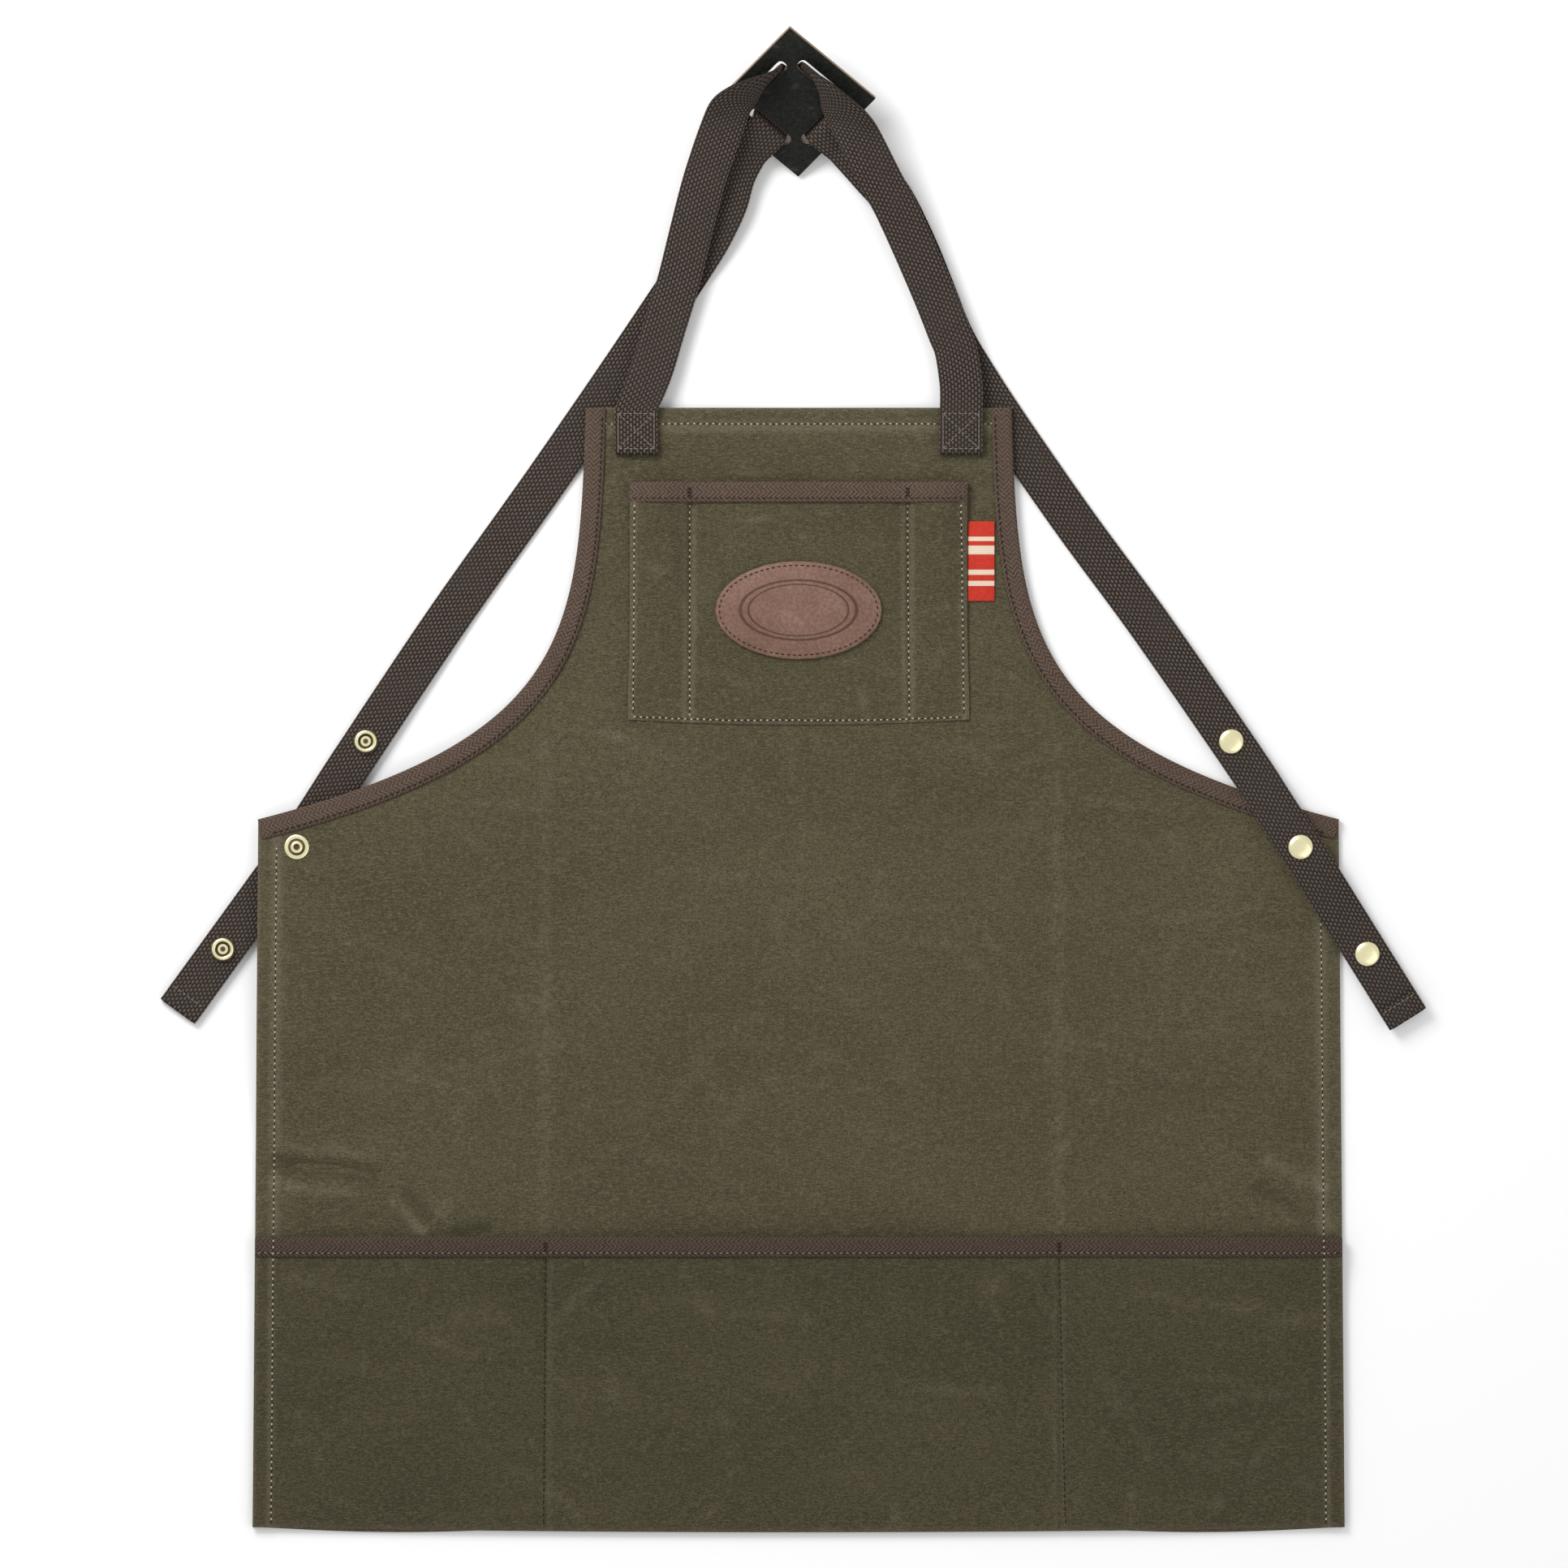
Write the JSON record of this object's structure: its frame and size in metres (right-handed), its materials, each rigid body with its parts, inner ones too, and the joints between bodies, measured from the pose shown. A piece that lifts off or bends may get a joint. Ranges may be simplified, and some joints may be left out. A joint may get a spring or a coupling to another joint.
{
  "type": "waxed canvas work apron",
  "caption": "Waxed canvas work apron laid flat, crossed web straps through a leather keeper, snap ends, bib pocket and three-part lower pocket.",
  "frame": {"origin": "centre line of the apron at the waist line, where the two armholes reach the sides, on the underside of the canvas", "axes": "+X towards the wearer-side right as seen from the front, +Y up the apron towards the bib and the straps, +Z out of the front, away from the surface it lies on"},
  "size_m": [0.7409, 0.8799, 0.0517],
  "materials": {
    "canvas": "waxed, matt with rubbed marks",
    "tape": "herringbone twill, matt",
    "webbing": "woven cotton webbing, matt",
    "keeper_leather": "dark, soft sheen",
    "patch_leather": "natural, matt",
    "label": "woven, matt",
    "brass": "polished"
  },
  "bodies": {
    "root": {"body_panel": "canvas", "lower_pocket": "canvas", "bib_pocket": "canvas", "armhole_binding_left": "tape", "armhole_binding_right": "tape", "lower_pocket_binding": "tape", "bib_pocket_binding": "tape", "shoulder_strap_left": "webbing", "shoulder_strap_right": "webbing", "leather_keeper": "keeper_leather", "leather_patch": "patch_leather", "side_label": "label", "snap_left_upper": "brass", "snap_left_middle": "brass", "snap_left_lower": "brass", "snap_right_upper": "brass", "snap_right_middle": "brass", "snap_right_lower": "brass", "stud_left": "brass", "stud_right": "brass"}
  },
  "joints": []
}
